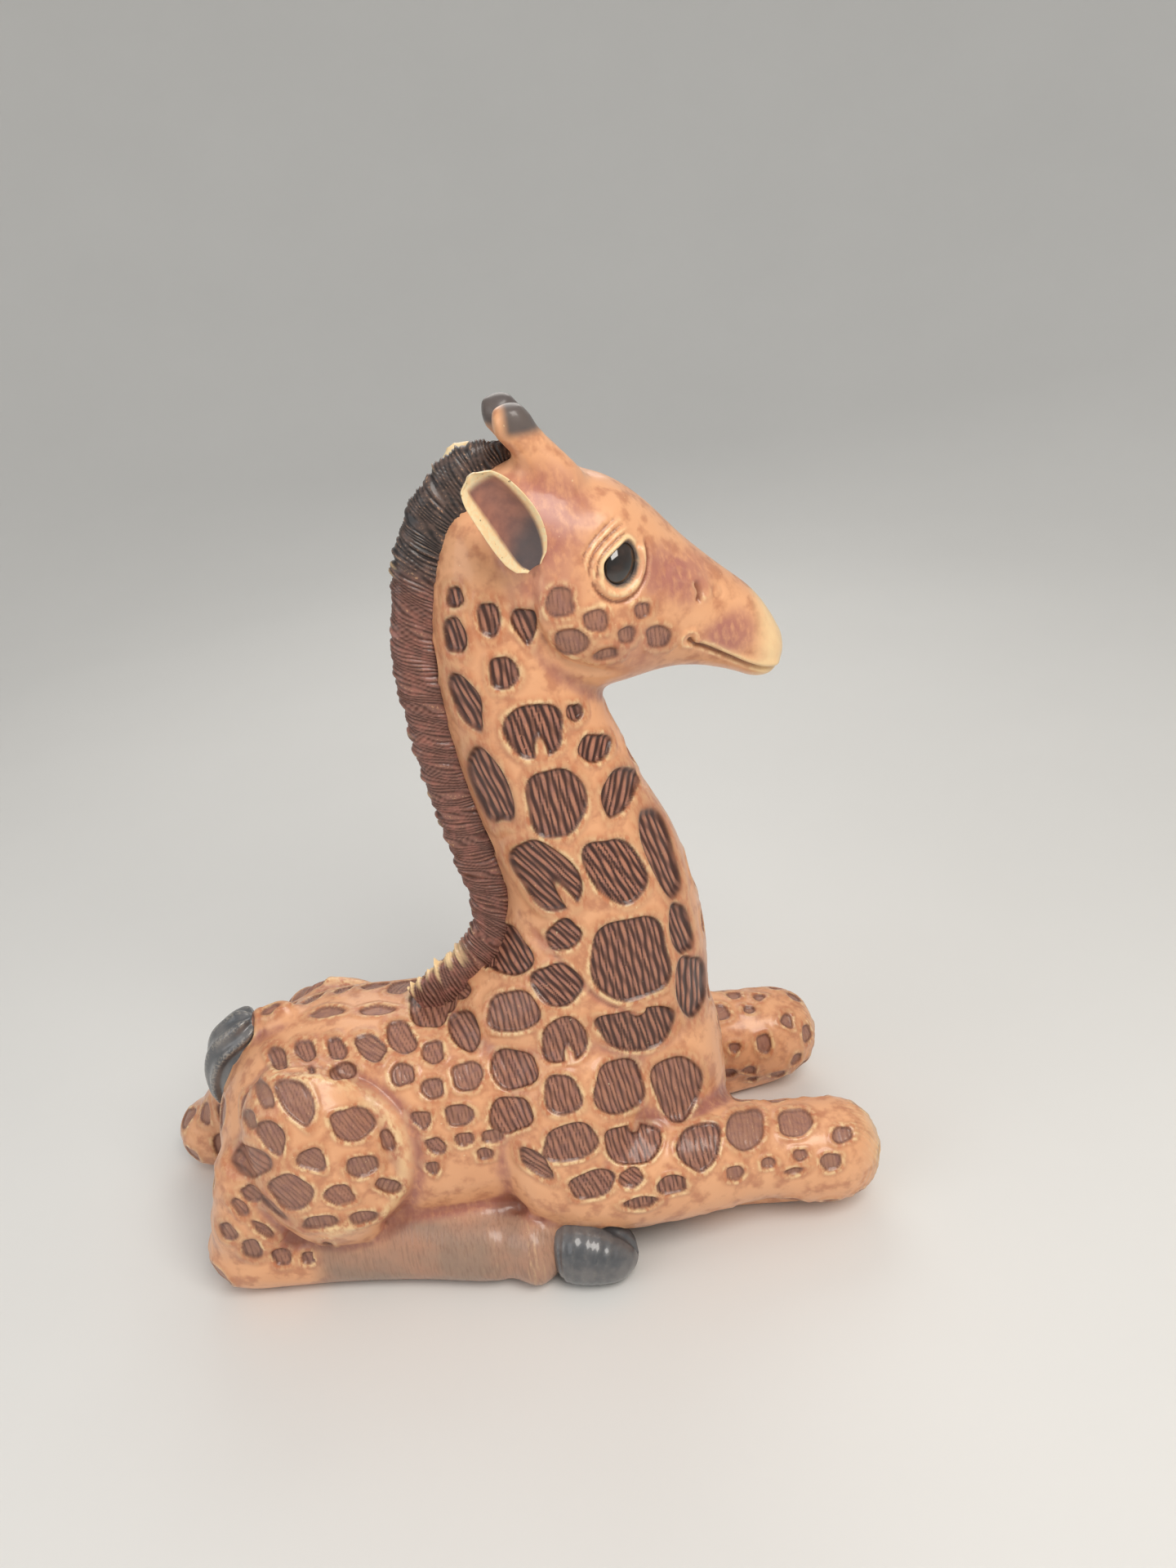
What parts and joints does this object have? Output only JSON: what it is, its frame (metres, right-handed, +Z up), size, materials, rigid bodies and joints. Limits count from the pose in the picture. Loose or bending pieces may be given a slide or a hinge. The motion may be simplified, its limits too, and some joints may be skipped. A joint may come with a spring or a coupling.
{
  "type": "giraffe calf figure",
  "caption": "Lying giraffe calf figure in carved style with recessed coat patches, upright neck, folded legs, maned crest, horns and glossy dark eyes.",
  "frame": {"origin": "on the surface it lies on, under the middle of the figure's bounding box", "axes": "+X the way the figure faces, +Y its left side, +Z up"},
  "size_m": [0.1458, 0.069, 0.1602],
  "materials": {
    "hide": "cast resin, honey-tan hand paint with brown washed patches, glossy lacquer",
    "mane": "cast resin, dark brown to red-brown hair with pale dry-brushed tips, glossy lacquer",
    "horn": "cast resin, tan with dark grey-brown tips, glossy lacquer",
    "hoof": "cast resin, slate blue-grey paint, satin lacquer",
    "tuft": "cast resin, slate grey hair, glossy lacquer",
    "eye": "glossy near-black bead; glass is assumed, and gloss paint would look alike",
    "rod": "drawn steel wire, assumed, not visible"
  },
  "bodies": {
    "root": {"torso": "hide", "neck": "hide", "head": "hide", "mane": "mane", "ear_right": "hide", "ear_left": "hide", "horn_right": "horn", "horn_left": "horn", "eye_right": "eye", "eye_left": "eye", "shoulder_right": "hide", "shoulder_left": "hide", "forearm_right": "hide", "forearm_left": "hide", "fore_cannon_right": "hide", "fore_cannon_left": "hide", "fore_hoof_right": "hoof", "fore_hoof_left": "hoof", "thigh_right": "hide", "thigh_left": "hide", "hind_shank_right": "hide", "hind_shank_left": "hide", "hind_cannon_right": "hide", "hind_cannon_left": "hide", "hind_hoof_right": "hoof", "hind_hoof_left": "hoof", "tail": "hide", "tail_tuft": "tuft", "neck_rod": "rod"}
  },
  "joints": []
}
